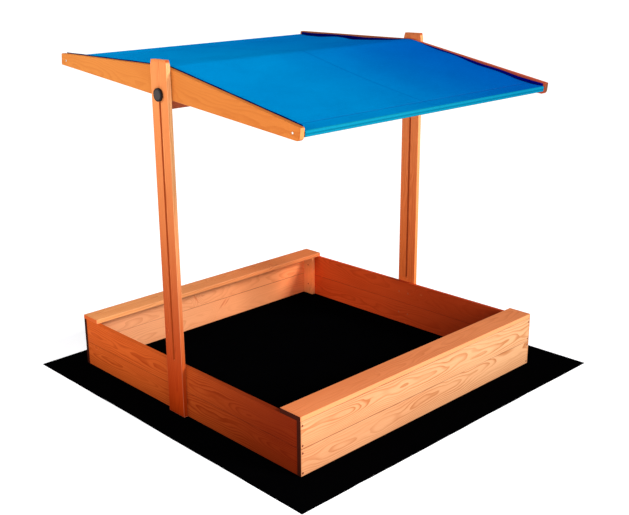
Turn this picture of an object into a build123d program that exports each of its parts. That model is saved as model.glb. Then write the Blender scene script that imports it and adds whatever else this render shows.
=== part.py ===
"""Wooden sandbox, 1.2 m square, with a canvas roof that lowers onto it as a cover.

The roof hangs between two slotted posts on two pivot bolts. Loosening the two
knobs lets the bolts slide down the slots until the roof lies flat on the seats.

Frame: millimetres, +Z up, origin under the middle of the ground sheet.
X runs from the left post to the right post, and the front is towards -Y.
"""
from build123d import *
import os
from math import cos, radians, sin

os.makedirs("parts", exist_ok=True)

# ---- Driving dimensions ----
box_side = 1200.0
stock = 16.0  # thickness of every planed board
board_height = 92.0
edge_round = 1.2
seat_width = 90.0
corner_batten_width = 55.0

sheet_side = 1490.0
sheet_thickness = 1.5

post_width = 84.0
post_height = 1205.0
post_taper = (5.0, 18.0)  # cut off each top corner, across and down
slot_width = 9.0
slot_bottom = 202.0
slot_end_clearance = 1.5

arm_half_length = 612.0
arm_middle_height = 98.0
arm_tip_height = 40.0
front_tip_radius = 14.0
back_tip_radius = 3.0
tip_top_radius = 4.0
pivot_height = 1099.5
pivot_above_arm_edge = 12.5
roof_tilt = 6.0  # degrees, front edge down

tip_batten_depth = 50.0
tip_batten_height = 16.0
tip_batten_inset = 30.0  # batten's middle, from the arm's tip
tip_batten_rise = 19.0  # batten's middle, above the arm's lower edge
ridge_bar_height = 40.0
beam_forward_face = 14.0  # behind the pivot, clear of the bolt heads
beam_drop = 56.0  # beam's lower edge, below the pivot

canvas = 1.2
canvas_gap = 0.3
ridge_bar_gap = 1.2  # between the ridge bar and the canvas
canvas_side_gap = 4.0
canvas_ridge = 85.0  # above the pivot

bolt_radius = 4.0
bolt_length = 42.5
bolt_head_height = 5.3
bolt_head_across_flats = 13.0
running_gap = 0.1  # between faces that slide on each other
pivot_hole_radius = 4.3
washer_radius = 12.0
washer_bore_radius = 4.4
washer_thickness = 1.6
knob_radius = 21.0
knob_depth = 8.0
knob_edge_round = 2.5
knob_flutes = 24
flute_radius = 1.6
flute_bite = 0.8
insert_radius = 6.5
insert_length = 5.5
knob_bore_depth = 6.3

screw_radius = 2.0
screw_head_radius = 4.0
screw_tip = 5.0
screw_head_angle = 90.0
screw_clearance = 0.1
long_screw = 45.0
short_screw = 30.0
corner_screw_heights = (10.0, 77.0)  # above each board's lower edge
post_screw_spread = 24.0

dowel_radius = 4.0
dowel_length = 28.0
dowel_in_seat = 10.0
dowel_spacing = 250.0
dowels_per_seat = 5
dowel_clearance = 0.1

# ---- Places worked out from them ----
half_side = box_side / 2
wall_inner = half_side - stock
floor = sheet_thickness
wall_top = floor + 2 * board_height
seat_top = wall_top + stock
board_bottoms = {"lower": floor, "upper": floor + board_height}

arm_outer = half_side - 2 * running_gap - washer_thickness
arm_inner = arm_outer - stock
arm_edge = -pivot_above_arm_edge
bolt_head_seat = arm_inner - running_gap - washer_thickness
knob_washer_seat = half_side + stock + running_gap
knob_seat = knob_washer_seat + washer_thickness + running_gap

sides = {"left": -1, "right": 1}
ends = {"front": -1, "back": 1}

# The roof's own frame: origin on the pivot axis, tilted with the roof.
roof_up = (0, -sin(radians(roof_tilt)), cos(radians(roof_tilt)))
roof_plane = Plane(origin=(0, 0, pivot_height), x_dir=(1, 0, 0), z_dir=roof_up)


def save(piece, name):
    """Name a finished piece and write it."""
    piece.part.label = name
    export_step(piece.part, f"parts/{name}.step")


def roof_section(x):
    """Plane across the roof at x: its own X runs backwards and its Y runs up."""
    origin = roof_plane.from_local_coords((x, 0, 0))
    return Plane(origin=origin, x_dir=roof_plane.y_dir, z_dir=(1, 0, 0))


def axle_plane(side, distance):
    """Plane square to the pivot axis, facing outwards at this distance."""
    return Plane(origin=(side * distance, 0, pivot_height), x_dir=(0, 1, 0), z_dir=(side, 0, 0))


def roof_screw_plane(side, back, up):
    """Face of a screw head on an arm's outer face, in the roof's frame."""
    origin = roof_plane.from_local_coords((side * arm_outer, back, up))
    return Plane(origin=origin, x_dir=roof_plane.y_dir, z_dir=(side, 0, 0))


def wood_screw(plane, length):
    """Countersunk screw with its head flush in the plane's face."""
    section = Plane(origin=plane.origin, x_dir=plane.x_dir, z_dir=-plane.y_dir)
    head_depth = screw_head_radius - screw_radius
    with BuildPart() as screw:
        with BuildSketch(section):
            with BuildLine():
                Polyline(
                    (0, 0),
                    (screw_head_radius, 0),
                    (screw_radius, -head_depth),
                    (screw_radius, screw_tip - length),
                    (0, -length),
                    close=True,
                )
            make_face()
        revolve(axis=Axis(plane.origin, plane.z_dir))
    return screw.part


def screw_holes(planes, length):
    """Cut room for the screws at these planes out of the piece in hand."""
    with Locations(*[Location(plane) for plane in planes]):
        CounterSinkHole(
            radius=screw_radius + screw_clearance,
            counter_sink_radius=screw_head_radius + screw_clearance,
            depth=length + screw_clearance,
            counter_sink_angle=screw_head_angle,
        )


def washer(plane):
    """Flat washer standing on the plane."""
    with BuildPart() as ring:
        with BuildSketch(plane):
            Circle(washer_radius)
            Circle(washer_bore_radius, mode=Mode.SUBTRACT)
        extrude(amount=washer_thickness)
    return ring.part


# ---- Where the screws and dowels go ----
corner_screws = [
    Plane(origin=(side * (half_side - stock / 2), end * half_side, bottom + height), z_dir=(0, end, 0))
    for side in sides.values()
    for end in ends.values()
    for bottom in board_bottoms.values()
    for height in corner_screw_heights
]
batten_middle = wall_inner - corner_batten_width / 2
batten_screws = [
    Plane(
        origin=(side * (wall_inner - stock), end * batten_middle, bottom + board_height / 2),
        z_dir=(-side, 0, 0),
    )
    for side in sides.values()
    for end in ends.values()
    for bottom in board_bottoms.values()
]
post_screws = [
    Plane(
        origin=(side * wall_inner, spread, bottom + board_height / 2),
        z_dir=(-side, 0, 0),
    )
    for side in sides.values()
    for spread in (-post_screw_spread, post_screw_spread)
    for bottom in board_bottoms.values()
]
tip_batten_back = arm_half_length - tip_batten_inset
tip_batten_up = arm_edge + tip_batten_rise
canvas_inner_ridge = canvas_ridge - canvas
ridge_bar_top = canvas_inner_ridge - ridge_bar_gap
ridge_bar_up = ridge_bar_top - ridge_bar_height / 2
beam_back = beam_forward_face + stock / 2
beam_screw_heights = (8.0, 26.0)  # above the pivot
roof_screw_places = [
    (-tip_batten_back, tip_batten_up),
    (tip_batten_back, tip_batten_up),
    (0, ridge_bar_up),
] + [(beam_back, height) for height in beam_screw_heights]
roof_screws = [
    roof_screw_plane(side, back, up) for side in sides.values() for back, up in roof_screw_places
]
dowel_y = half_side - stock / 2
dowel_places = [
    ((number - (dowels_per_seat - 1) / 2) * dowel_spacing, end * dowel_y)
    for end in ends.values()
    for number in range(dowels_per_seat)
]

# ---- Ground sheet ----
with BuildPart() as ground_sheet:
    with BuildSketch():
        Rectangle(sheet_side, sheet_side)
    extrude(amount=sheet_thickness)
save(ground_sheet, "ground_sheet")

# ---- Wall boards: front and back run full width, the side boards fit between ----
for row, bottom in board_bottoms.items():
    middle = bottom + board_height / 2
    for name, end in ends.items():
        with BuildPart() as long_board:
            with BuildSketch(Plane.YZ):
                with Locations((end * dowel_y, middle)):
                    RectangleRounded(stock, board_height, edge_round)
            extrude(amount=half_side, both=True)
            screw_holes(corner_screws, long_screw)
            with BuildSketch(Plane.XY.offset(wall_top + dowel_in_seat)):
                with Locations(*dowel_places):
                    Circle(dowel_radius + dowel_clearance)
            extrude(amount=-dowel_length - dowel_clearance, mode=Mode.SUBTRACT)
        save(long_board, f"{name}_{row}_board")
    for name, side in sides.items():
        with BuildPart() as side_board:
            with BuildSketch(Plane.XZ):
                with Locations((side * dowel_y, middle)):
                    RectangleRounded(stock, board_height, edge_round)
            extrude(amount=wall_inner, both=True)
            screw_holes(corner_screws, long_screw)
            screw_holes(batten_screws + post_screws, short_screw)
        save(side_board, f"{name}_{row}_board")

# ---- Seat boards on top of the front and back walls ----
for name, end in ends.items():
    with BuildPart() as seat:
        with BuildSketch(Plane.YZ):
            with Locations((end * (half_side - seat_width / 2), wall_top + stock / 2)):
                RectangleRounded(seat_width, stock, edge_round)
        extrude(amount=half_side, both=True)
        with BuildSketch(Plane.XY.offset(wall_top)):
            with Locations(*dowel_places):
                Circle(dowel_radius + dowel_clearance)
        extrude(amount=dowel_in_seat + dowel_clearance, mode=Mode.SUBTRACT)
    save(seat, f"{name}_seat")

with BuildPart() as seat_dowels:
    with BuildSketch(Plane.XY.offset(wall_top + dowel_in_seat)):
        with Locations(*dowel_places):
            Circle(dowel_radius)
    extrude(amount=-dowel_length)
save(seat_dowels, "seat_dowels")

# ---- Corner battens that tie the boards together inside ----
for end_name, end in ends.items():
    for side_name, side in sides.items():
        with BuildPart() as corner_batten:
            with BuildSketch(Plane.XY.offset(floor)):
                with Locations((side * (wall_inner - stock / 2), end * batten_middle)):
                    RectangleRounded(stock, corner_batten_width, edge_round)
            extrude(amount=2 * board_height)
            screw_holes(corner_screws, long_screw)
            screw_holes(batten_screws, short_screw)
        save(corner_batten, f"{end_name}_{side_name}_corner_batten")

# ---- Slotted posts ----
post_top = floor + post_height
slot_top = pivot_height + bolt_radius + slot_end_clearance
taper_across, taper_down = post_taper
for name, side in sides.items():
    with BuildPart() as post:
        with BuildSketch(Plane.YZ.offset(side * (half_side + stock / 2))):
            with BuildLine():
                Polyline(
                    (-post_width / 2, floor),
                    (-post_width / 2, post_top - taper_down),
                    (taper_across - post_width / 2, post_top),
                    (post_width / 2 - taper_across, post_top),
                    (post_width / 2, post_top - taper_down),
                    (post_width / 2, floor),
                    close=True,
                )
            make_face()
        extrude(amount=stock / 2, both=True)
        fillet(post.faces().filter_by(Axis.X).edges(), edge_round)
        with BuildSketch(Plane.YZ.offset(side * (half_side + stock / 2))):
            with Locations((0, (slot_bottom + slot_top) / 2)):
                SlotOverall(slot_top - slot_bottom, slot_width, rotation=90)
        extrude(amount=stock, both=True, mode=Mode.SUBTRACT)
        screw_holes(post_screws, short_screw)
    save(post, f"{name}_post")

# ---- Gable arms of the roof ----
for name, side in sides.items():
    with BuildPart() as arm:
        with BuildSketch(roof_section(side * (arm_outer - stock / 2))) as outline:
            with BuildLine():
                Polyline(
                    (-arm_half_length, arm_edge),
                    (arm_half_length, arm_edge),
                    (arm_half_length, arm_edge + arm_tip_height),
                    (0, arm_edge + arm_middle_height),
                    (-arm_half_length, arm_edge + arm_tip_height),
                    close=True,
                )
            make_face()
            tip_tops = [
                outline.vertices().sort_by(Axis.X)[:2].sort_by(Axis.Y)[-1],
                outline.vertices().sort_by(Axis.X)[-2:].sort_by(Axis.Y)[-1],
            ]
            fillet(tip_tops, tip_top_radius)
            fillet(outline.vertices().sort_by(Axis.X)[:2].sort_by(Axis.Y)[0], front_tip_radius)
            fillet(outline.vertices().sort_by(Axis.X)[-2:].sort_by(Axis.Y)[0], back_tip_radius)
        extrude(amount=stock / 2, both=True)
        fillet(arm.faces().filter_by(Axis.X).edges(), edge_round)
        with Locations(Location(axle_plane(side, half_side))):
            Hole(pivot_hole_radius, depth=2 * stock)
        screw_holes(roof_screws, long_screw)
    save(arm, f"{name}_arm")

# ---- Cross pieces of the roof, between the arms ----
cross_pieces = {
    "front_batten": (-tip_batten_back, tip_batten_up, tip_batten_depth, tip_batten_height),
    "back_batten": (tip_batten_back, tip_batten_up, tip_batten_depth, tip_batten_height),
    "ridge_bar": (0, ridge_bar_up, stock, ridge_bar_height),
    "cross_beam": (beam_back, board_height / 2 - beam_drop, stock, board_height),
}
for name, (back, up, depth, height) in cross_pieces.items():
    with BuildPart() as cross_piece:
        with BuildSketch(roof_section(0)):
            with Locations((back, up)):
                RectangleRounded(depth, height, edge_round)
        extrude(amount=arm_inner, both=True)
        screw_holes(roof_screws, long_screw)
    save(cross_piece, name)

# ---- Canopy: one width of canvas over the ridge, round the two tip battens ----
skin_inner = canvas_gap
skin_outer = canvas_gap + canvas
batten_reach = tip_batten_back + tip_batten_depth / 2
batten_lip = tip_batten_back - tip_batten_depth / 2
batten_top = tip_batten_up + tip_batten_height / 2
batten_bottom = tip_batten_up - tip_batten_height / 2
with BuildPart() as canopy:
    with BuildSketch(roof_section(0)):
        with BuildLine():
            Polyline(
                (-batten_lip, batten_bottom - skin_outer),
                (-batten_reach - skin_outer, batten_bottom - skin_outer),
                (-batten_reach - skin_outer, batten_top + skin_outer),
                (0, canvas_ridge),
                (batten_reach + skin_outer, batten_top + skin_outer),
                (batten_reach + skin_outer, batten_bottom - skin_outer),
                (batten_lip, batten_bottom - skin_outer),
                (batten_lip, batten_bottom - skin_inner),
                (batten_reach + skin_inner, batten_bottom - skin_inner),
                (batten_reach + skin_inner, batten_top + skin_inner),
                (0, canvas_inner_ridge),
                (-batten_reach - skin_inner, batten_top + skin_inner),
                (-batten_reach - skin_inner, batten_bottom - skin_inner),
                (-batten_lip, batten_bottom - skin_inner),
                close=True,
            )
        make_face()
    extrude(amount=arm_inner - canvas_side_gap, both=True)
save(canopy, "canopy")

# ---- Screws, grouped by what they hold ----
screw_groups = {
    "corner_screws": [wood_screw(plane, long_screw) for plane in corner_screws],
    "batten_screws": [wood_screw(plane, short_screw) for plane in batten_screws],
    "post_screws": [wood_screw(plane, short_screw) for plane in post_screws],
    "roof_screws": [wood_screw(plane, long_screw) for plane in roof_screws],
}
for name, screws in screw_groups.items():
    with BuildPart() as screw_group:
        add(screws)
    save(screw_group, name)

# ---- Pivot bolts with the washers that space the arms from the posts ----
for name, side in sides.items():
    with BuildPart() as bolt:
        with BuildSketch(axle_plane(side, bolt_head_seat)):
            RegularPolygon(bolt_head_across_flats / 2, 6, major_radius=False)
        extrude(amount=-bolt_head_height)
        with BuildSketch(axle_plane(side, bolt_head_seat)):
            Circle(bolt_radius)
        extrude(amount=bolt_length)
        shank_end = bolt.faces().sort_by(Axis.X)[0 if side < 0 else -1]
        chamfer(shank_end.edges(), edge_round)
    save(bolt, f"{name}_pivot_bolt")

spacers = [
    washer(axle_plane(side, seat))
    for side in sides.values()
    for seat in (bolt_head_seat, arm_outer + running_gap)
]
with BuildPart() as pivot_washers:
    add(spacers)
save(pivot_washers, "pivot_washers")

# ---- Knobs with their brass inserts and washers ----
for name, side in sides.items():
    knob_washer = washer(axle_plane(side, knob_washer_seat))
    with BuildPart() as outer_washer:
        add(knob_washer)
    save(outer_washer, f"{name}_knob_washer")

    inner_face = axle_plane(side, knob_seat)
    with BuildPart() as knob:
        with BuildSketch(inner_face):
            Circle(knob_radius)
            with PolarLocations(knob_radius + flute_radius - flute_bite, knob_flutes):
                Circle(flute_radius, mode=Mode.SUBTRACT)
        extrude(amount=knob_depth)
        rim = knob.faces().sort_by(Axis.X)[0 if side < 0 else -1]
        chamfer(rim.edges(), knob_edge_round, knob_edge_round / 2, reference=rim)
        with BuildSketch(inner_face):
            Circle(insert_radius)
        extrude(amount=insert_length, mode=Mode.SUBTRACT)
        with BuildSketch(inner_face):
            Circle(washer_bore_radius)
        extrude(amount=knob_bore_depth, mode=Mode.SUBTRACT)
    save(knob, f"{name}_knob")

    with BuildPart() as insert:
        with BuildSketch(inner_face):
            Circle(insert_radius)
            Circle(washer_bore_radius, mode=Mode.SUBTRACT)
        extrude(amount=insert_length)
    save(insert, f"{name}_knob_insert")
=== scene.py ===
"""Looks of a wooden sandbox with a canvas roof, built around its CAD frame.

Metres, +Z up. X runs from the left post to the right post and the front is towards -Y.
"""
import math
import random

import bmesh
import bpy
from mathutils import Matrix, Vector, noise


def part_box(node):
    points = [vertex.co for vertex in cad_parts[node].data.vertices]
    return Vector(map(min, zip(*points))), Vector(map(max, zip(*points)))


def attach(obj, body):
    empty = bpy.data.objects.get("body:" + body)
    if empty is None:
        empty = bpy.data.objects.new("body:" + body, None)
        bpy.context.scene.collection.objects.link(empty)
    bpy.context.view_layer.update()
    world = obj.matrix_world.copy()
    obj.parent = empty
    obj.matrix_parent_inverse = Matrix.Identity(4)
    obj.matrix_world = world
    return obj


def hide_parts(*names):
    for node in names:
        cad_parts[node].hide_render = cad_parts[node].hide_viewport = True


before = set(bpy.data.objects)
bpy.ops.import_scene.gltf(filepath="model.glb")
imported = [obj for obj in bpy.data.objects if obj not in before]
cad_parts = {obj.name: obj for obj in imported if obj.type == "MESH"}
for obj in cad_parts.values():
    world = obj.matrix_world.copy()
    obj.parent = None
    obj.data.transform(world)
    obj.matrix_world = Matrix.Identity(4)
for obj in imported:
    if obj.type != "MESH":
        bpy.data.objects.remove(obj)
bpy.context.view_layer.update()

scene = bpy.context.scene
scene.view_settings.view_transform = "Standard"

X, Y, Z = Vector((1, 0, 0)), Vector((0, 1, 0)), Vector((0, 0, 1))
SIGNS = (-1, 1)
SIDES = {"left": -1, "right": 1}

# ---- The roof's own frame: origin on the pivot axis, tilted with the roof ----
PIVOT = Vector((0, 0, 1.0995))
ROOF_TILT = math.radians(6)
ROOF_BACK = Vector((0, math.cos(ROOF_TILT), math.sin(ROOF_TILT)))
ROOF_UP = Vector((0, -math.sin(ROOF_TILT), math.cos(ROOF_TILT)))

BATTEN_BACK, BATTEN_UP = 0.582, 0.0065  # middle of a tip batten in this frame

BOARD_HEIGHT = 0.092
FLOOR = 0.0015  # top of the ground sheet, where the boards stand


def roof_point(x, back, up):
    """World point of x, back and up in the roof's own frame."""
    return PIVOT + x * X + back * ROOF_BACK + up * ROOF_UP


def linear(red, green, blue):
    """Linear colour of an 8-bit screen colour."""
    channels = (c / 255 for c in (red, green, blue))
    return tuple(((c + 0.055) / 1.055) ** 2.4 if c > 0.04 else c / 12.92 for c in channels) + (1,)


def smooth(x, low, high):
    """0 below low, 1 above high, smooth between."""
    t = min(max((x - low) / (high - low), 0), 1)
    return t * t * (3 - 2 * t)


# ---- Node trees ----
class Graph:
    """A material's node tree, built by calls that take numbers or sockets."""

    def __init__(self, name):
        self.material = bpy.data.materials.new(name)
        self.material.use_nodes = True
        self.nodes = self.material.node_tree.nodes
        self.links = self.material.node_tree.links
        self.nodes.clear()
        self.shader = self.node("ShaderNodeBsdfPrincipled")
        output = self.node("ShaderNodeOutputMaterial")
        self.links.new(self.shader.outputs[0], output.inputs[0])
        self.coordinates = self.node("ShaderNodeTexCoord")
        self.position = self.coordinates.outputs["Object"]
        self.normal = self.coordinates.outputs["Normal"]

    def node(self, kind, inputs=None, **properties):
        made = self.nodes.new(kind)
        for name, value in properties.items():
            setattr(made, name, value)
        for key, value in (inputs or {}).items():
            self.put(made.inputs[key], value)
        return made

    def put(self, socket, value):
        if isinstance(value, bpy.types.NodeSocket):
            self.links.new(value, socket)
        else:
            socket.default_value = value

    def math(self, operation, *values):
        made = self.node("ShaderNodeMath", dict(enumerate(values)), operation=operation)
        return made.outputs[0]

    def vector(self, operation, *values, out=0):
        made = self.node("ShaderNodeVectorMath", dict(enumerate(values)), operation=operation)
        return made.outputs[out]

    def scaled(self, vector, factors, shift=(0, 0, 0)):
        return self.vector("MULTIPLY_ADD", vector, factors, shift)

    def times(self, vector, factor):
        """A vector or colour times one number."""
        made = self.node("ShaderNodeVectorMath", {0: vector, 3: factor}, operation="SCALE")
        return made.outputs[0]

    def noise(self, vector, detail=2.0, out=0):
        made = self.node("ShaderNodeTexNoise", {"Vector": vector, "Scale": 1.0, "Detail": detail})
        return made.outputs[out]

    def ease(self, value, low, high, to_low=0.0, to_high=1.0):
        inputs = {0: value, 1: low, 2: high, 3: to_low, 4: to_high}
        made = self.node("ShaderNodeMapRange", inputs, interpolation_type="SMOOTHSTEP")
        return made.outputs[0]

    def mix(self, factor, a, b, blend="MIX"):
        made = self.node("ShaderNodeMix", {0: factor, 6: a, 7: b}, data_type="RGBA", blend_type=blend)
        return made.outputs[2]

    def bump(self, height, distance, strength=1.0):
        made = self.node("ShaderNodeBump", {"Height": height, "Distance": distance, "Strength": strength})
        self.put(self.shader.inputs["Normal"], made.outputs[0])

    def finish(self, color, roughness, **constants):
        self.put(self.shader.inputs["Base Color"], color)
        self.put(self.shader.inputs["Roughness"], roughness)
        for name, value in constants.items():
            self.shader.inputs[name.replace("_", " ")].default_value = value
        return self.material


def give(name, material):
    """Give a carried-over CAD node a better material."""
    for material_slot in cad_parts[name].material_slots:
        material_slot.material = material


# ---- Stained softwood ----
LINE = (0.66, 0.45, 0.32)  # a growth line's colour, as a share of the light wood's
NARROW_FACE_HIGHLIGHT = (1.18, 1.75, 2.3)  # painted highlight on the lit narrow faces, as a multiple of the wide ones
BROWN, DARK_BROWN = (200, 96, 50), (150, 60, 30)  # the light wood of the hidden pieces
DARK_END, BROWN_END, LIGHT_END = (56, 20, 11), (96, 38, 18), (228, 140, 80)
PALE_EDGE = ((255, 206, 160), 0.22)  # a pale arris, rubbed wear with a painted highlight: its colour and how strong it is
DARK_EDGE, SEAM_EDGE = ((70, 22, 10), 0.55), ((64, 20, 8), 0.9)
KNOT, KNOT_STRENGTH = (206, 96, 54), 0.6
# Painted shade on the walls of a post's slot, and how strong it is
SLOT_SHADE, SLOT_SHADE_STRENGTH = (176, 74, 30), 0.85
END_SOAK = 0.012  # how far the stain darkens a board from its ends
ARRIS = 0.0018  # how wide the tinted edge of a face is: rubbed wear with a painted highlight where pale, a dark joint where dark
SWIRL, SWIRL_HEIGHT = 5.5, 2.6  # how far the rings bend round a knot, in its radii
WOOD_RELIEF = 0.0004


def wood(node, along, across, low, high, narrow, end_grain, edge, lines=1.0, knots=(), pitch=0.0046):
    """Flat-sawn board: growth rings of a log whose axis runs nearly along the board.

    low and high are the wood's colour at the board's two ends, blended along it; where one end is much
    darker, that darkening is painted shade. narrow is how strong the painted highlight on the long narrow
    faces is at the low end and above it. edge is an arris's colour and strength. lines is how strong the
    growth lines are. knots are (along, across, radius) from the board's middle, with an angle in degrees and
    a stretch after them where a knot is cut lengthwise.
    """
    draw = random.Random(node)
    through = along.cross(across)
    turn = Matrix((along, across, through))
    points = [turn @ v.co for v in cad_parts[node].data.vertices]
    first = Vector([min(p[i] for p in points) for i in range(3)])
    last = Vector([max(p[i] for p in points) for i in range(3)])
    half = (last - first) / 2

    g = Graph("wood_" + node)
    place = g.node(
        "ShaderNodeMapping",
        {"Vector": g.position, "Rotation": turn.to_euler("XYZ"), "Location": -(first + last) / 2},
    ).outputs[0]
    split = g.node("ShaderNodeSeparateXYZ", {0: place})
    u = split.outputs[0]
    shift = Vector([draw.uniform(-40, 40) for _ in range(3)])

    # Growth rings
    wander = g.noise(g.scaled(place, (2.3, 7, 7), shift), detail=2.5, out=1)
    wander = g.vector("SUBTRACT", wander, (0.5, 0.5, 0.5))
    lean = (0, draw.uniform(-0.02, 0.02), draw.uniform(0.012, 0.03) * draw.choice((-1, 1)))
    heart = (0, draw.uniform(-0.6, 0.6) * half[1], draw.uniform(0.03, 0.06) * draw.choice((-1, 1)))
    from_heart = g.vector("ADD", g.scaled(place, (0, 1, 1), heart), g.times(lean, u))
    from_heart = g.vector("MULTIPLY_ADD", wander, (0, 0.03, 0.075), from_heart)
    radius = g.vector("LENGTH", from_heart, out=1)
    knot_core = 0.0
    for knot_u, knot_v, knot_radius, *spike in knots:
        lean_angle, stretch = spike or (0, 1.6)
        offset = g.node(
            "ShaderNodeMapping",
            {
                "Vector": place, "Location": (knot_u, knot_v, 0),
                "Rotation": (0, 0, math.radians(lean_angle)), "Scale": (stretch, 1, 1000),
            },
            vector_type="TEXTURE",
        ).outputs[0]
        reach = g.vector("LENGTH", offset, out=1)
        bend = g.ease(reach, 0, SWIRL * knot_radius, SWIRL_HEIGHT * knot_radius, 0)
        radius = g.math("ADD", radius, bend)
        core = g.ease(reach, 0.2 * knot_radius, knot_radius, 1, 0)
        knot_core = g.math("MAXIMUM", knot_core, core)
    uneven = g.noise(g.scaled(place, (4, 34, 34), shift), detail=3)
    ring = g.math("FRACT", g.math("MULTIPLY_ADD", radius, 1 / pitch, uneven))
    late = g.math("MINIMUM", g.ease(ring, 0.35, 0.92), g.ease(ring, 0.93, 1, 1, 0))
    strength = g.ease(g.noise(g.scaled(place, (3, 16, 16), -shift)), 0.3, 0.7, 0.3 * lines, lines)
    late = g.math("MULTIPLY", late, strength)

    # Fibres, blotches of stain and darkened ends
    fibres = g.noise(g.scaled(place, (9, 620, 620), shift), detail=3)
    pores = g.noise(g.scaled(place, (45, 2400, 2400), shift), detail=1)
    blotch = g.noise(g.scaled(place, (2.2, 9, 9), 2 * shift), detail=3)
    # Painted shade in this end-to-end blend: on the side walls, the posts, the back wall and the right arm,
    # the darker end stands for shade.
    light = g.mix(g.ease(u, -half[0], half[0]), linear(*low), linear(*high))
    depths = [g.math("SUBTRACT", half[i], g.math("ABSOLUTE", split.outputs[i])) for i in range(3)]
    facing_across = g.math("ABSOLUTE", g.vector("DOT_PRODUCT", g.normal, across, out=1))
    narrow_face = g.ease(facing_across, 0.75, 0.95)
    outermost = g.ease(depths[1], 0.002, 0.004, 1, 0)
    # Painted highlight: the long narrow faces are made paler where the key light catches them, and less so
    # towards a post's foot, which the wall shades.
    if narrow:
        highlight_share = g.ease(u, -0.85 * half[0], -0.6 * half[0], *narrow)
        highlight_share = g.math("MULTIPLY", g.math("MULTIPLY", narrow_face, outermost), highlight_share)
        light = g.mix(highlight_share, light, g.vector("MULTIPLY", light, NARROW_FACE_HIGHLIGHT))
    line = g.vector("MULTIPLY", light, LINE)
    color = g.mix(late, light, line)
    color = g.mix(g.ease(fibres, 0.35, 0.75, 0, 0.3 * lines), color, line)
    color = g.mix(g.ease(pores, 0.6, 0.8, 0, 0.2 * lines), color, line)
    color = g.mix(g.ease(blotch, 0.4, 0.72, 0, 0.22), color, line)
    color = g.mix(g.ease(g.math("ABSOLUTE", u), half[0] - END_SOAK, half[0], 0, 0.35), color, line)

    # Arrises (rubbed wear with a painted highlight, or dark joints), knots, slot walls with painted shade and
    # end grain
    nearer = g.math("MINIMUM", depths[1], depths[2])
    farther = g.math("MAXIMUM", depths[1], depths[2])
    arris = g.math("MAXIMUM", nearer, g.math("MINIMUM", farther, depths[0]))
    # Pale arrises are rubbed wear with a painted highlight along the edge; dark ones are dark joints.
    edge_color, edge_strength = edge
    arris_tint = g.ease(arris, 0, ARRIS, edge_strength, 0)
    arris_tint = g.math("MULTIPLY", arris_tint, g.ease(blotch, 0.3, 0.6, 0.4, 1))
    color = g.mix(arris_tint, color, linear(*edge_color))
    if knots:
        color = g.mix(g.math("MULTIPLY", knot_core, KNOT_STRENGTH), color, linear(*KNOT))
    # Painted shade: a post's slot walls are darkened where little light gets in.
    if node.endswith("_post"):
        in_slot = g.math("MULTIPLY", narrow_face, g.math("SUBTRACT", 1.0, outermost))
        color = g.mix(g.math("MULTIPLY", in_slot, SLOT_SHADE_STRENGTH), color, linear(*SLOT_SHADE))
    end_face = g.math("ABSOLUTE", g.vector("DOT_PRODUCT", g.normal, along, out=1))
    end_color = g.vector("MULTIPLY", linear(*end_grain)[:3], g.mix(late, (1, 1, 1, 1), (*LINE, 1)))
    color = g.mix(g.ease(end_face, 0.7, 0.95), color, end_color)

    relief = g.math("MULTIPLY_ADD", late, 0.3, fibres)
    relief = g.math("MULTIPLY_ADD", pores, 0.3, relief)
    g.bump(relief, WOOD_RELIEF, 0.5)
    return g.finish(color, g.ease(fibres, 0.2, 0.8, 0.5, 0.7), Specular_IOR_Level=0.015)
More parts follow.
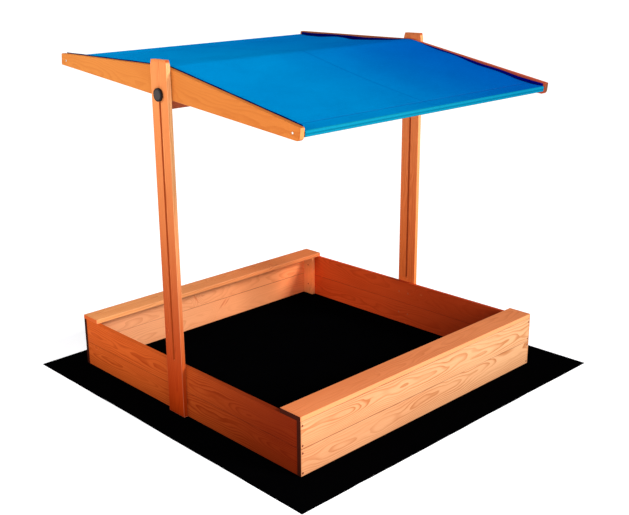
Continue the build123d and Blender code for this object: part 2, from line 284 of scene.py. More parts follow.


# Directions of the grain and the width, wood colour at the low and high ends, painted highlight share on the
# narrow faces, end grain, edges, strength of the lines, knots. The one stain is given as lit and shaded
# copies: paler on the front and back walls, which face the key light, and darker and redder on the side
# walls, which face away from it. A board darkening towards one end (the side walls towards the front, the
# posts towards the foot, the back wall towards its right corner, the right arm towards the front) is painted
# shade too.
BOARDS = {
    "front_lower_board": (X, Z, (217, 153, 108), (223, 168, 122), None, DARK_END, SEAM_EDGE, 1.0, []),
    "front_upper_board": (X, Z, (217, 155, 110), (224, 170, 124), None, DARK_END, SEAM_EDGE, 1.0, []),
    "back_lower_board": (
        X, Z, (242, 170, 121), (238, 147, 92), None, DARK_END, SEAM_EDGE, 0.4,
        [(0.078, 0.0235, 0.0064, 41.7, 6.5), (0.101, 0.0275, 0.0044, 42.6, 7)],
    ),
    "back_upper_board": (
        X, Z, (242, 170, 121), (238, 147, 92), None, DARK_END, SEAM_EDGE, 0.4,
        [(-0.361, 0.030, 0.006), (-0.068, -0.008, 0.0055, -60, 6)],
    ),
    "front_seat": (X, Y, (228, 133, 80), (234, 142, 88), (0.45, 0.45), DARK_END, PALE_EDGE, 0.5, []),
    "back_seat": (
        X, Y, (243, 163, 101), (230, 129, 74), (0.0, 0.1), (208, 96, 42), PALE_EDGE, 0.8,
        [(0.321, -0.012, 0.008), (0.003, 0.010, 0.004)],
    ),
    "left_lower_board": (
        Y, Z, (119, 37, 10), (212, 96, 36), None, BROWN_END, DARK_EDGE, 1.1, [(0.528, 0.030, 0.005)],
    ),
    "left_upper_board": (Y, Z, (119, 37, 10), (212, 96, 36), None, BROWN_END, DARK_EDGE, 1.1, []),
    "right_lower_board": (Y, Z, (184, 62, 25), (232, 85, 34), None, BROWN_END, DARK_EDGE, 0.5, []),
    "right_upper_board": (
        Y, Z, (184, 62, 25), (232, 85, 34), None, BROWN_END, SEAM_EDGE, 0.5, [(-0.094, 0.012, 0.006)],
    ),
    "front_left_corner_batten": (Z, Y, BROWN, BROWN, None, BROWN_END, PALE_EDGE, 0.5, []),
    "front_right_corner_batten": (Z, Y, BROWN, BROWN, None, BROWN_END, PALE_EDGE, 0.5, []),
    "back_left_corner_batten": (
        Z, Y, (225, 130, 75), (225, 130, 75), None, BROWN_END, PALE_EDGE, 0.5, [],
    ),
    # Painted light: this batten is paler than the others, for the light it catches in the corner.
    "back_right_corner_batten": (
        Z, Y, (255, 172, 108), (255, 172, 108), None, BROWN_END, PALE_EDGE, 0.5, [],
    ),
    "left_post": (
        Z, Y, (164, 52, 8), (219, 136, 80), (0.1, 1.0), LIGHT_END, PALE_EDGE, 0.7, [(-0.3, 0.024, 0.004)],
    ),
    "right_post": (Z, Y, (238, 111, 49), (246, 140, 80), (0.4, 0.9), LIGHT_END, PALE_EDGE, 0.6, []),
    "left_arm": (ROOF_BACK, ROOF_UP, (192, 111, 50), (198, 122, 57), None, LIGHT_END, PALE_EDGE, 0.3, []),
    "right_arm": (ROOF_BACK, ROOF_UP, (196, 86, 58), (190, 112, 70), None, (116, 66, 42), PALE_EDGE, 0.3, []),
    "front_batten": (X, ROOF_BACK, DARK_BROWN, DARK_BROWN, None, BROWN_END, PALE_EDGE, 0.5, []),
    "back_batten": (X, ROOF_BACK, DARK_BROWN, DARK_BROWN, None, BROWN_END, PALE_EDGE, 0.5, []),
    "ridge_bar": (X, ROOF_UP, BROWN, BROWN, None, BROWN_END, PALE_EDGE, 0.5, []),
    "cross_beam": (
        X, ROOF_UP, (164, 80, 52), BROWN, None, BROWN_END, PALE_EDGE, 0.5, [(0.2, -0.01, 0.006)],
    ),
}
for board, look in BOARDS.items():
    give(board, wood(board, *look))


# ---- Dowels, metal and moulded plastic ----
SCREW_SCRATCHES = (1800, 900, 1800)


def metal(name, color, dull, scratch_scale, roughness, bare=1.0):
    """Plated metal with dull patches and fine scratches; bare is how much of it isn't stained over."""
    g = Graph(name)
    patches = g.noise(g.scaled(g.position, (320, 320, 320)), detail=3)
    scratches = g.noise(g.scaled(g.position, scratch_scale), detail=1)
    tint = g.mix(g.ease(patches, 0.35, 0.7), color, dull)
    g.bump(scratches, 0.00008, 0.5)
    low, high = roughness
    return g.finish(tint, g.ease(scratches, 0.3, 0.7, low, high), Metallic=bare)


def dowel_wood():
    g = Graph("dowel_wood")
    fibres = g.noise(g.scaled(g.position, (1500, 1500, 60)), detail=3)
    g.bump(fibres, 0.0002, 0.5)
    color = g.mix(g.ease(fibres, 0.3, 0.7), linear(214, 170, 118), linear(184, 132, 84))
    return g.finish(color, 0.6, Specular_IOR_Level=0.3)


KNOB_GROOVE = (0.0131, 0.0159)  # inner and outer radius of the ring sunk into a knob's face
KNOB_SHADED_RIM = (0.0146, 0.0164)  # where the face turns into the rim, darker as painted shade
GROOVE_BLUR = 0.0003


def knob_plastic(side):
    """Black moulded plastic: fine spark-eroded grain, a sunk ring round the middle of the face and a rim
    darker than the face as painted shade.
    """
    g = Graph(side + "_knob_plastic")
    grain = g.noise(g.scaled(g.position, (1600, 1600, 1600)), detail=2)
    from_axis = g.vector("SUBTRACT", g.position, PIVOT)
    reach = g.vector("LENGTH", g.scaled(from_axis, (0, 1, 1)), out=1)
    inner, outer = KNOB_GROOVE
    from_inside = g.ease(reach, inner - GROOVE_BLUR, inner + GROOVE_BLUR)
    groove = g.math("MULTIPLY", from_inside, g.ease(reach, outer - GROOVE_BLUR, outer + GROOVE_BLUR, 1, 0))
    height = g.math("MULTIPLY_ADD", groove, -6, grain)
    g.bump(height, 0.00012, 0.8)
    worn = g.ease(grain, 0.4, 0.75)
    face = g.mix(worn, linear(54, 47, 47), linear(70, 62, 61))
    # Painted shade: the rim is a darker copy of the face's plastic.
    rim = g.mix(worn, linear(20, 17, 18), linear(32, 28, 29))
    color = g.mix(g.ease(reach, *KNOB_SHADED_RIM), face, rim)
    return g.finish(color, g.ease(grain, 0.3, 0.7, 0.38, 0.55), Specular_IOR_Level=0.12)


zinc = metal("zinc_hardware", linear(196, 200, 206), linear(150, 154, 160), (2600, 2600, 400), (0.22, 0.42))
zinc_screws = metal(
    "zinc_screws", linear(232, 230, 224), linear(190, 186, 176), SCREW_SCRATCHES, (0.25, 0.45),
)
stained_screws = metal(
    "stained_screws", linear(140, 62, 30), linear(96, 38, 18), SCREW_SCRATCHES, (0.5, 0.7), bare=0.25,
)
painted_screws = metal(
    "painted_screws", linear(206, 92, 44), linear(176, 70, 30), SCREW_SCRATCHES, (0.6, 0.8), bare=0.1,
)
brass = metal("brass", linear(214, 170, 84), linear(168, 124, 56), (1400, 1400, 1400), (0.25, 0.4))
give("seat_dowels", dowel_wood())
for side_name in SIDES:
    give(side_name + "_knob", knob_plastic(side_name))
    give(side_name + "_knob_insert", brass)
    give(side_name + "_pivot_bolt", zinc)
    give(side_name + "_knob_washer", zinc)
give("pivot_washers", zinc)


# ---- Meshes ----
def add_object(name, data):
    made = bpy.data.objects.new(name, data)
    scene.collection.objects.link(made)
    return made


def piece(name, bm, materials, smooth_faces=True):
    """Object from a finished bmesh."""
    bmesh.ops.recalc_face_normals(bm, faces=bm.faces)
    mesh = bpy.data.meshes.new(name)
    bm.to_mesh(mesh)
    bm.free()
    for material in materials:
        mesh.materials.append(material)
    for polygon in mesh.polygons:
        polygon.use_smooth = smooth_faces
    return add_object(name, mesh)


def grid(bm, rows):
    """Quads between rows of points that all have the same length."""
    made = [[bm.verts.new(point) for point in row] for row in rows]
    for row, following in zip(made, made[1:]):
        for i in range(len(row) - 1):
            bm.faces.new((row[i], row[i + 1], following[i + 1], following[i]))


def thicken(made, thickness):
    """Give an open surface its thickness, half of it to each side."""
    solid = made.modifiers.new("thickness", "SOLIDIFY")
    solid.thickness = thickness
    solid.offset = 0
    solid.use_even_offset = True


# ---- Countersunk screws with a cross recess ----
SCREW_HEAD, SCREW_SHANK, SCREW_TIP = 0.0039, 0.002, 0.0003  # radii
HEAD_EDGE = 0.0003, 0.00025  # the head's broken edge, across and down
POINT_LENGTH, POINT_SHORT = 0.006, 0.001  # where the point starts and stops, from the screw's full length
SCREW_SUNK = 0.0003
RECESS_LONG, RECESS_WIDE, RECESS_DEEP, RECESS_TAPER = 0.0023, 0.00062, 0.0016, 0.45
SCREW_SIDES = 20
LONG_SCREW, SHORT_SCREW = 0.045, 0.030


def add_screw(bm, origin, outward, length):
    """One screw, its head a little below the face at origin."""
    frame_of_screw = outward.to_track_quat("Z", "Y").to_matrix().to_4x4()
    frame_of_screw.translation = origin - SCREW_SUNK * outward
    made = []

    def loop_of(points):
        loop = [bm.verts.new(point) for point in points]
        made.extend(loop)
        return loop

    def ring(radius, depth):
        angles = (math.tau * k / SCREW_SIDES for k in range(SCREW_SIDES))
        return loop_of([(radius * math.cos(a), radius * math.sin(a), -depth) for a in angles])

    def sides(loop):
        return zip(loop, loop[1:] + loop[:1])

    def band(upper, lower):
        for (a, b), (c, d) in zip(sides(upper), sides(lower)):
            bm.faces.new((a, b, d, c))

    rings = [
        ring(SCREW_HEAD - HEAD_EDGE[0], 0),
        ring(SCREW_HEAD, HEAD_EDGE[1]),
        ring(SCREW_SHANK, SCREW_HEAD - SCREW_SHANK),
        ring(SCREW_SHANK, length - POINT_LENGTH),
        ring(SCREW_TIP, length - POINT_SHORT),
    ]
    for upper, lower in zip(rings, rings[1:]):
        band(upper, lower)
    bm.faces.new(rings[-1])
    w, r = RECESS_WIDE, RECESS_LONG
    corners = [
        (w, w), (w, r), (-w, r), (-w, w), (-r, w), (-r, -w),
        (-w, -w), (-w, -r), (w, -r), (w, -w), (r, -w), (r, w),
    ]
    rim = loop_of([(x, y, 0) for x, y in corners])
    foot = loop_of([(RECESS_TAPER * x, RECESS_TAPER * y, -RECESS_DEEP) for x, y in corners])
    band(rim, foot)
    bm.faces.new(foot)
    edges = [bm.edges.get(side) or bm.edges.new(side) for loop in (rim, rings[0]) for side in sides(loop)]
    bmesh.ops.triangle_fill(bm, edges=edges, use_beauty=True)
    bmesh.ops.transform(bm, matrix=frame_of_screw, verts=made)


def screws(name, node, body, material, places, length):
    bm = bmesh.new()
    for origin, outward in places:
        add_screw(bm, Vector(origin), Vector(outward), length)
    made = piece(name, bm, [material], smooth_faces=False)
    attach(made, body)
    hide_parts(node)


CORNER_SCREWS = (0.010, 0.077)  # above each board's lower edge
WALL_THICKNESS = CORNER_BATTEN_THICKNESS = 0.016
CORNER_BATTEN_MIDDLE = 0.0275  # from the end wall's inner face
POST_SCREWS = (-0.024, 0.024)
ROOF_SCREWS = (  # back, up
    (-BATTEN_BACK, BATTEN_UP), (BATTEN_BACK, BATTEN_UP), (0, 0.0626), (0.022, 0.008), (0.022, 0.026),
)
half_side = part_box("front_seat")[1].x
wall_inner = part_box("right_post")[0].x - WALL_THICKNESS
batten_face, batten_middle = wall_inner - CORNER_BATTEN_THICKNESS, wall_inner - CORNER_BATTEN_MIDDLE
side_middle = (half_side + wall_inner) / 2
arm_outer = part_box("right_arm")[1].x
bottoms = (FLOOR, FLOOR + BOARD_HEIGHT)
screws(
    "corner_screw_set", "corner_screws", "sandbox", stained_screws,
    [
        ((side * side_middle, end * half_side, bottom + height), (0, end, 0))
        for side in SIGNS for end in SIGNS for bottom in bottoms for height in CORNER_SCREWS
    ],
    LONG_SCREW,
)
screws(
    "batten_screw_set", "batten_screws", "sandbox", painted_screws,
    [
        ((side * batten_face, end * batten_middle, bottom + BOARD_HEIGHT / 2), (-side, 0, 0))
        for side in SIGNS for end in SIGNS for bottom in bottoms
    ],
    SHORT_SCREW,
)
screws(
    "post_screw_set", "post_screws", "sandbox", painted_screws,
    [
        ((side * wall_inner, along, bottom + BOARD_HEIGHT / 2), (-side, 0, 0))
        for side in SIGNS for along in POST_SCREWS for bottom in bottoms
    ],
    SHORT_SCREW,
)
screws(
    "roof_screw_set", "roof_screws", "roof", zinc_screws,
    [(roof_point(side * arm_outer, back, up), (side, 0, 0)) for side in SIGNS for back, up in ROOF_SCREWS],
    LONG_SCREW,
)

# ---- Canopy ----
CANVAS = 0.001
HALF_WIDTH = 0.5780
SKIN = 0.0011  # middle of the canvas, from the batten
BATTEN_HALF_DEPTH, BATTEN_HALF_HEIGHT = 0.025, 0.008
CORNER = 0.0026  # radius at the sleeve's edges
REACH = BATTEN_BACK + BATTEN_HALF_DEPTH + SKIN  # the sleeve's outer and inner faces, from the ridge
INNER = BATTEN_BACK - BATTEN_HALF_DEPTH - SKIN
TOP = BATTEN_UP + BATTEN_HALF_HEIGHT + SKIN
BOTTOM = BATTEN_UP - BATTEN_HALF_HEIGHT - SKIN
RIDGE = 0.0846  # height of the canvas over the ridge bar
RIDGE_ROUND = 0.012
SEAM = 0.5500  # where the sleeve is sewn, from the ridge
SEAM_TURN = 0.012  # cloth turned back past the seam
ROLL = 0.0014  # how far the sleeve's front bulges, above and below its middle crease
SLEEVE_STEPS = 16
SAG = 0.006  # in the middle of each slope
RIPPLE, FLUTTER, FOLD, EDGE_WAVE = 0.0016, 0.0016, 0.0012, 0.0015
SLACK = 0.015  # beside the right arm's back half
SLACK_AT, SLACK_SPREAD = 0.36, 0.20  # its middle and spread, as shares of the slope
SLOPE_ROWS, CANOPY_COLUMNS = 44, 58


def slope_height(back):
    """Height of the stretched canvas without sag, from the ridge bar to the batten's top."""
    fall = (RIDGE - TOP) / (math.hypot(INNER, RIDGE_ROUND) - RIDGE_ROUND)
    return max(RIDGE - fall * (math.hypot(back, RIDGE_ROUND) - RIDGE_ROUND), TOP)


def sleeve_profile():
    """The sleeve, from the sewn edge under the canvas round the batten to its top front corner."""
    turned = [(back, slope_height(back) - 0.0013) for back in (SEAM - SEAM_TURN, SEAM)]
    inside = [
        (INNER - 0.0022, TOP - 0.0028), (INNER - 0.0004, TOP - 0.0070),
        (INNER + 0.0010, BOTTOM + 0.0012), (INNER + 0.004, BOTTOM),
    ]
    below = [(BATTEN_BACK - 0.008, BOTTOM), (BATTEN_BACK + 0.008, BOTTOM)]
    front = []
    for k in range(SLEEVE_STEPS + 1):
        angle = math.radians(-90 + 180 * k / SLEEVE_STEPS)
        bulge = ROLL * abs(math.sin(math.tau * k / SLEEVE_STEPS))
        front.append((
            REACH - CORNER + (CORNER + bulge) * math.cos(angle) ** 0.5,
            BATTEN_UP + (TOP - BATTEN_UP) * math.sin(angle),
        ))
    return turned + inside + below + front


def half_profile():
    """One half of the section: (back, up, on the slope)."""
    edge = REACH - CORNER
    slope = [edge * (1 - k / SLOPE_ROWS) for k in range(1, SLOPE_ROWS)]
    sleeve_part = [(*spot, False) for spot in sleeve_profile()]
    return sleeve_part + [(back, slope_height(back), True) for back in slope]


def canopy_profile():
    """Whole section, from the front sleeve's sewn edge to the back one's."""
    half = half_profile()
    front = [(-back, up, on_slope) for back, up, on_slope in half]
    return front + [(0.0, RIDGE, True)] + half[::-1]


def canopy_lift(x, back, on_slope):
    """How far the canvas stands above its stretched line: sag, ripples, slack and the middle fold."""
    s = abs(back) / SEAM
    if not on_slope or s >= 1:
        return 0.0
    free = smooth(s, 0, 0.06) * (1 - smooth(s, 0.9, 1))
    across = abs(x) / HALF_WIDTH
    sag = -SAG * 4 * s * (1 - s) * (1 - 0.7 * across**2)
    lift = RIPPLE * noise.noise(Vector((x * 7, back * 1.6, 3.1)))
    lift += FLUTTER * smooth(across, 0.85, 1) * math.sin(back * 31 + (2 if x > 0 else 0))
    lift += FOLD * math.exp(-abs(x) / 0.007)
    if back > 0:
        slack = SLACK * math.exp(-(((s - SLACK_AT) / SLACK_SPREAD) ** 2))
        lift -= slack * smooth(x / HALF_WIDTH, 0.86, 1)
    return sag + free * lift


def canopy_columns():
    """Even columns, with finer ones at the middle fold and along the hems."""
    columns = [HALF_WIDTH * (2 * k / CANOPY_COLUMNS - 1) for k in range(CANOPY_COLUMNS + 1)]
    fine = [s * d for s in SIGNS for d in (0.003, 0.006, 0.010, 0.014)]
    hems = [s * (HALF_WIDTH - d) for s in SIGNS for d in (0.003, 0.008, 0.013)]
    return sorted(columns + fine + hems)


def canopy_point(x, back, up, on_slope, above=0.0):
    """World point of the canvas, its wavy side edges drawn in a little."""
    drawn_in = EDGE_WAVE * smooth(abs(x) / HALF_WIDTH, 0.9, 1) * math.sin(back * 17 + x)
    height = up + canopy_lift(x, back, on_slope) + above
    return roof_point(x - math.copysign(abs(drawn_in), x), back, height)


def point_on_slope(x, back, above):
    return canopy_point(x, back, slope_height(back), True, above)


WEAVE = 0.0011  # from one thread to the next but one
STITCHED = 0.001  # from the seam to its first row of stitches


def canvas_cloth(name, left, right, deep, crease=False):
    """Coated woven canvas: plain weave, uneven threads, soft creases, a fold line down the middle with
    painted shade along it, and painted shade in the crease along each seam.

    left and right are its colours at the two sides, the right one darker on the canvas as painted shade, and
    deep is the share of them in the hollows and in the painted shade.
    crease adds the shaded crease along the middle of a sleeve's front and its shaded lower edge.
    """
    g = Graph(name)
    turned = g.node(
        "ShaderNodeMapping",
        {"Vector": g.position, "Rotation": (-ROOF_TILT, 0, 0)},
    ).outputs[0]
    split = g.node("ShaderNodeSeparateXYZ", {0: turned})
    x, y = split.outputs[0], split.outputs[1]
    uneven = g.noise(g.scaled(turned, (30, 30, 30)), detail=2)
    warp = g.math("SINE", g.math("MULTIPLY_ADD", x, math.tau / WEAVE, uneven))
    weft = g.math("SINE", g.math("MULTIPLY_ADD", y, math.tau / WEAVE, uneven))
    weave = g.math("MULTIPLY", warp, weft)
    slubs_x = g.noise(g.scaled(turned, (18, 900, 900)), detail=2)
    slubs_y = g.noise(g.scaled(turned, (900, 18, 900)), detail=2)
    slubs = g.math("ADD", slubs_x, slubs_y)
    cloudy = g.noise(g.scaled(turned, (5, 5, 5)), detail=4)
    # Painted shade along the middle fold line.
    fold = g.ease(g.math("ABSOLUTE", x), 0.0, 0.006, 1, 0)
    shade = g.math("MULTIPLY_ADD", weave, 0.07, g.ease(slubs, 0.8, 1.25, 0.0, 0.22))
    shade = g.math("ADD", shade, g.ease(cloudy, 0.35, 0.7, 0, 0.16))
    shade = g.math("MULTIPLY_ADD", fold, g.ease(cloudy, 0.3, 0.6, 0.12, 0.34), shade)
    back = g.math("SUBTRACT", y, PIVOT.z * math.sin(ROOF_TILT))
    # Painted shade in the crease along each sleeve's seam.
    off_seam = g.math("ABSOLUTE", g.math("SUBTRACT", g.math("ABSOLUTE", back), SEAM - STITCHED))
    shade = g.math("ADD", shade, g.ease(off_seam, 0.0, 0.004, 0.5, 0))
    if crease:
        up = g.math("SUBTRACT", split.outputs[2], PIVOT.z * math.cos(ROOF_TILT) + BATTEN_UP)
        middle = g.ease(g.math("ABSOLUTE", g.math("ADD", up, 0.0008)), 0.0006, 0.0040, 0.85, 0)
        under = g.ease(up, -0.0088, -0.0066, 0.7, 0)
        shade = g.math("ADD", shade, g.math("MAXIMUM", middle, under))
    # Painted shade: the canvas darkens towards its right side, less on the back half, for light falling off
    # across the roof.
    rightward = g.math("MULTIPLY", g.ease(x, -0.35, HALF_WIDTH), g.ease(back, -0.1, 0.3, 1, 0.55))
    color = g.mix(rightward, linear(*left), linear(*right))
    color = g.mix(shade, color, g.vector("MULTIPLY", color, deep))
    height = g.math("MULTIPLY_ADD", slubs, 0.8, weave)
    height = g.math("MULTIPLY_ADD", cloudy, 14, height)
    g.bump(height, 0.00012, 0.55)
    return g.finish(color, g.ease(slubs, 0.8, 1.2, 0.62, 0.78), Specular_IOR_Level=0.0)


canvas = canvas_cloth("canvas_cloth", (0, 139, 205), (0, 95, 187), (0.5, 0.42, 0.6))
sleeve = canvas_cloth("canvas_sleeve", (13, 131, 160), (9, 124, 158), (0.4, 0.60, 0.66), crease=True)
# Painted shadow: the binding's dark navy stands for the arm's shadow and the gap along the canvas's edges.
shadow_binding = canvas_cloth("binding_tape_painted_shadow", (2, 10, 78), (3, 9, 122), (0.5, 0.5, 0.6))
bm = bmesh.new()
profile = canopy_profile()
grid(bm, [[canopy_point(x, *spot) for x in canopy_columns()] for spot in profile])
for face in bm.faces:
    back = sum((corner.co - PIVOT).dot(ROOF_BACK) for corner in face.verts) / 4
    face.material_index = int(abs(back) > REACH - CORNER)
canopy = piece("canopy_cloth", bm, [canvas, sleeve])
thicken(canopy, CANVAS)
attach(canopy, "roof")
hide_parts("canopy")

# ---- Hems, bindings and stitching ----
HEM = 0.014
HEM_THICKNESS = 0.0006
HEM_SECTION = (  # in from the canvas's edge, above its middle
    (HEM, -0.0006), (HEM - 0.001, -0.0012), (HEM / 2, -0.0012), (0.0022, -0.0012), (0.0012, -0.0006),
)


def hem_strip(name, side):
    """Folded side hem on the canvas's underside."""
    strip = bmesh.new()
    grid(strip, [
        [canopy_point(side * (HALF_WIDTH - inward), *spot, above) for inward, above in HEM_SECTION]
        for spot in profile if spot[2] and abs(spot[0]) < SEAM - 0.013
    ])
    made = piece("canopy_hem_" + name, strip, [canvas])
    thicken(made, HEM_THICKNESS)
    return made


ARM_TOP = 0.0855  # the arms' top edge over the pivot, and how much it falls towards the tips
ARM_FALL = 0.058 / 0.612
BINDING_OUT = 0.5808  # the upright part, from the middle of the roof
BINDING_END = 0.6020
BINDING_UNDER = 0.0060  # how far it reaches in under the canvas
BINDING_THICKNESS = 0.0008
BINDING_ROWS = 96
# Share of the gap from the canvas to the arm's top edge that the binding's painted shadow covers, and how
# much more: front, back half
BINDING_RISE = {
    "left": ((1.0, 0.0030), (1.0, 0.0030)),
    "right": ((0.6, 0.0004), (0.7, 0.0004)),
}


def side_binding(name, side, front_rise, back_rise):
    """Navy binding that wraps the canvas's edge from below and is turned up against the arm; its dark navy is
    painted shadow of the arm and the gap beside it.
    """
    rows = []
    for k in range(BINDING_ROWS + 1):
        back = BINDING_END * (2 * k / BINDING_ROWS - 1)
        wave = 0.0004 * math.sin(back * 43 + side)
        cloth = slope_height(back) + canopy_lift(side * HALF_WIDTH, back, True)
        behind = smooth(back, -0.05, 0.05)
        share, more = (a + (b - a) * behind for a, b in zip(front_rise, back_rise))
        top = cloth + more + wave + share * (ARM_TOP - ARM_FALL * abs(back) - cloth)
        foot = min(cloth - 0.0005, top - 0.001)
        section = (
            (HALF_WIDTH - BINDING_UNDER, cloth - 0.0021), (HALF_WIDTH, cloth - 0.0023),
            (BINDING_OUT - 0.0008, foot - 0.0014), (BINDING_OUT, foot),
            (BINDING_OUT + 0.0003, (foot + top) / 2), (BINDING_OUT, top),
        )
        rows.append([roof_point(side * x, back, up) for x, up in section])
    strip = bmesh.new()
    grid(strip, rows)
    made = piece("canopy_binding_" + name, strip, [shadow_binding])
    thicken(made, BINDING_THICKNESS)
    return made


def thread():
    g = Graph("polyester_thread")
    twist = g.noise(g.scaled(g.position, (3000, 3000, 3000)), detail=1)
    g.bump(twist, 0.0001, 0.5)
    color = g.mix(g.ease(twist, 0.3, 0.7), linear(0, 84, 158), linear(0, 60, 130))
    return g.finish(color, 0.6, Specular_IOR_Level=0.2)


STITCH_STEP, STITCH_LENGTH, STITCH_HALF_WIDTH = 0.0042, 0.0030, 0.0004
END_MARGIN, HEM_MARGIN = 0.003, 0.014  # where the rows of stitches stop, from the side edge and the seam


def add_stitch(bm, start, end, out):
    """One short lens-shaped stitch standing a little out of the cloth."""
    along = end - start
    side = along.cross(out).normalized() * STITCH_HALF_WIDTH
    centre = (start + end) / 2
    tips = [bm.verts.new(start), bm.verts.new(end)]
    above, below = centre + STITCH_HALF_WIDTH * out, centre - STITCH_HALF_WIDTH / 2 * out
    waist = [bm.verts.new(point) for point in (above, centre + side, below, centre - side)]
    for a, b in zip(waist, waist[1:] + waist[:1]):
        bm.faces.new((tips[0], b, a))
        bm.faces.new((tips[1], a, b))


def stitching():
    """Two rows along each sleeve's seam and one along each side hem."""
    bm = bmesh.new()
    top = CANVAS / 2
    ends = (0, STITCH_LENGTH)
    for end in SIGNS:
        for seam in (SEAM - STITCHED, SEAM - 0.007):
            for k in range(int(2 * (HALF_WIDTH - END_MARGIN) / STITCH_STEP)):
                x = -HALF_WIDTH + END_MARGIN + k * STITCH_STEP
                add_stitch(bm, *(point_on_slope(x + d, end * seam, top) for d in ends), ROOF_UP)
    for side in SIGNS:
        x = side * (HALF_WIDTH - HEM + 0.002)
        for k in range(int(2 * (SEAM - HEM_MARGIN) / STITCH_STEP)):
            back = -(SEAM - HEM_MARGIN) + k * STITCH_STEP
            add_stitch(bm, *(point_on_slope(x, back + d, top) for d in ends), ROOF_UP)
    return piece("canopy_stitching", bm, [thread()], smooth_faces=False)


trimmings = [stitching()]
for side_name, side in SIDES.items():
    trimmings += [hem_strip(side_name, side), side_binding(side_name, side, *BINDING_RISE[side_name])]
for trimming in trimmings:
    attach(trimming, "roof")

# ---- Ground sheet ----
SHEET_CORNERS = [  # cut a little out of square and laid a little to the front and right
    [Vector((-0.737, -0.745)), Vector((0.755, -0.752))],
    [Vector((-0.737, 0.711)), Vector((0.745, 0.720))],
]
SHEET_CELLS = 148
SHEET_FOLD = 0.37  # the old folds, from the middle
MEMBRANE = 0.0008
DOT_PITCH = 0.0024
WALL_OUT, WALL_IN = 0.600, 0.584  # outer and inner faces of the box's walls
POST_MIDDLE, POST_HALF_THICK, POST_HALF_WIDE = 0.608, 0.008, 0.042
BATTEN_FREE = (0.568, 0.529)  # where the corner battens begin, in x and y


def sheet_height(x, y):
    """Height of the membrane's middle: flat under the boards, rippled and creased where it is free."""
    outside = max(abs(x), abs(y)) - WALL_OUT
    inside = WALL_IN - max(abs(x), abs(y))
    post = math.hypot(max(abs(abs(x) - POST_MIDDLE) - POST_HALF_THICK, 0), max(abs(y) - POST_HALF_WIDE, 0))
    batten = math.hypot(max(BATTEN_FREE[0] - abs(x), 0), max(BATTEN_FREE[1] - abs(y), 0))
    free = smooth(max(outside, inside), 0.012, 0.09) * smooth(min(post, batten), 0.012, 0.07)
    ripple = 0.0024 * (noise.noise(Vector((x * 4.1, y * 4.1, 0.7))) + 0.25)
    ripple += 0.0008 * noise.noise(Vector((x * 17, y * 17, 5.0)))
    fold = 0.0012 * sum(math.exp(-abs(abs(p) - SHEET_FOLD) / 0.006) for p in (x, y))
    return MEMBRANE / 2 + 0.0002 + free * max(ripple + fold, 0)


def membrane():
    """Black spun-bonded membrane: embossed dots, stray fibres."""
    g = Graph("weed_membrane_cloth")
    split = g.node("ShaderNodeSeparateXYZ", {0: g.position})
    across = g.math("SINE", g.math("MULTIPLY", split.outputs[0], math.tau / DOT_PITCH))
    down = g.math("SINE", g.math("MULTIPLY", split.outputs[1], math.tau / DOT_PITCH))
    dots = g.ease(g.math("MULTIPLY", across, down), 0.2, 0.8)
    fibres = g.noise(g.scaled(g.position, (1400, 1400, 1400)), detail=3)
    cloudy = g.noise(g.scaled(g.position, (6, 6, 6)), detail=4)
    height = g.math("SUBTRACT", fibres, dots)
    g.bump(height, 0.0003, 0.6)
    shade = g.math("MULTIPLY_ADD", g.ease(fibres, 0.5, 0.8), 0.5, g.math("MULTIPLY", cloudy, 0.5))
    color = g.mix(shade, (0.0004, 0.0004, 0.0005, 1), (0.0012, 0.0012, 0.0015, 1))
    return g.finish(color, 1.0, Specular_IOR_Level=0.0)


def sheet_rows():
    """Points from the front edge to the back one, with the outline roughly cut."""
    rows = []
    for j in range(SHEET_CELLS + 1):
        row = []
        for i in range(SHEET_CELLS + 1):
            away = [2 * k / SHEET_CELLS - 1 for k in (i, j)]  # -1 to 1 from one edge to the other
            front, rear = (a.lerp(b, i / SHEET_CELLS) for a, b in SHEET_CORNERS)
            x, y = front.lerp(rear, j / SHEET_CELLS)
            rough = 0.0012 * abs(noise.noise(Vector((x * 9, y * 9, 2.2))))
            cut_x, cut_y = (
                p - rough * math.copysign(smooth(abs(a), 0.95, 1), a) for p, a in zip((x, y), away)
            )
            row.append((cut_x, cut_y, sheet_height(x, y)))
        rows.append(row)
    return rows


bm = bmesh.new()
grid(bm, sheet_rows())
ground = piece("ground_sheet_cloth", bm, [membrane()])
thicken(ground, MEMBRANE)
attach(ground, "sandbox")
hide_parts("ground_sheet")

# ---- Floor, light and camera ----
FLOOR_REACH = 200  # far enough for the floor to end at the horizon
KEY_POWER, KEY_ANGLE, KEY_FROM = 3.4, 17, (0.45, -0.89, 0.53)
AIR_LIGHT = 0.28
CAMERA_PLACE = (-2.3494, -2.4254, 1.5009)
CAMERA_TURN = (-41.46, 17.592, -1.35)  # azimuth, elevation and roll in degrees
CAMERA_LENS, SENSOR, CAMERA_SHIFT = 54.263, 36, 0.0835
RED_GLOW, WARM_GLOW = (1.0, 0.25, 0.08), (1.0, 0.4, 0.15)

bm = bmesh.new()
grid(bm, [[(side * FLOOR_REACH, end * FLOOR_REACH, 0.0) for side in SIGNS] for end in SIGNS])
floor = piece("studio_floor", bm, [])
g = Graph("studio_floor_paint")
mottle = g.noise(g.scaled(g.position, (0.8, 0.8, 0.8)))
paper = g.mix(mottle, (0.80, 0.80, 0.80, 1), (0.84, 0.84, 0.84, 1))
floor.data.materials.append(
    g.finish(paper, 0.9, Specular_IOR_Level=0.0, Emission_Color=(1, 1, 1, 1), Emission_Strength=0.5)
)


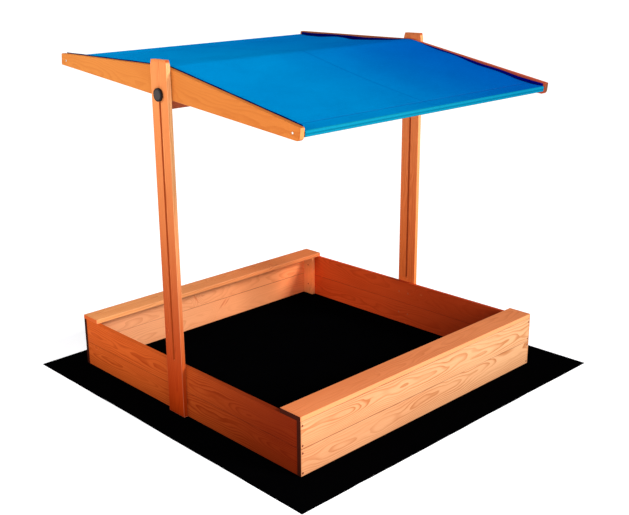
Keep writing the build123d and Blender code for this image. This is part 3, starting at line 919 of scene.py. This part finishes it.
def add_light(name, data, source):
    """Light that comes from the direction source."""
    lamp = add_object(name, data)
    lamp.rotation_mode = "QUATERNION"
    lamp.rotation_quaternion = source.to_track_quat("Z", "Y")
    return lamp


def softbox(name, place, aim, size, power, color=(1, 1, 1), spread=180):
    """Rectangular light aimed at a point."""
    data = bpy.data.lights.new(name, "AREA")
    data.shape = "RECTANGLE"
    data.size, data.size_y = size
    data.energy = power
    data.color = color
    data.spread = math.radians(spread)
    lamp = add_light(name, data, Vector(place) - Vector(aim))
    lamp.location = place


softbox("side_softbox", (-2.3, 0.7, 1.85), (0, 0, 0.6), (1.6, 1.2), 30)
softbox("fill_softbox", (-2.1, -2.2, 0.8), (0.3, 0.2, 0.2), (1.3, 0.9), 36)
softbox("corner_light", (0.44, 0.32, 0.09), (0.50, 0.58, 0.085), (0.1, 0.1), 0.017, RED_GLOW, 50)
softbox("batten_light", (0.30, 0.10, 0.10), (0.563, 0.53, 0.09), (0.02, 0.08), 0.008, WARM_GLOW, 12)
key = bpy.data.lights.new("key_light", "SUN")
key.energy = KEY_POWER
key.angle = math.radians(KEY_ANGLE)
add_light("key_light", key, Vector(KEY_FROM))
world = bpy.data.worlds.new("studio_air")
world.use_nodes = True
background = world.node_tree.nodes["Background"]
background.inputs[0].default_value = (1, 1, 1, 1)
background.inputs[1].default_value = AIR_LIGHT
scene.world = world

camera_data = bpy.data.cameras.new("camera")
camera_data.sensor_width = SENSOR
camera_data.lens = CAMERA_LENS
camera_data.shift_x = CAMERA_SHIFT
camera = add_object("camera", camera_data)
azimuth, elevation, roll = (math.radians(a) for a in CAMERA_TURN)
backward = Vector((
    math.sin(azimuth) * math.cos(elevation), -math.cos(azimuth) * math.cos(elevation), math.sin(elevation),
))
rightward = (-backward).cross(Z).normalized()
upward = rightward.cross(-backward)
right_rolled = math.cos(roll) * rightward + math.sin(roll) * upward
up_rolled = math.cos(roll) * upward - math.sin(roll) * rightward
camera.matrix_world = Matrix.Translation(CAMERA_PLACE) @ Matrix(
    (right_rolled, up_rolled, backward)
).transposed().to_4x4()
scene.camera = camera
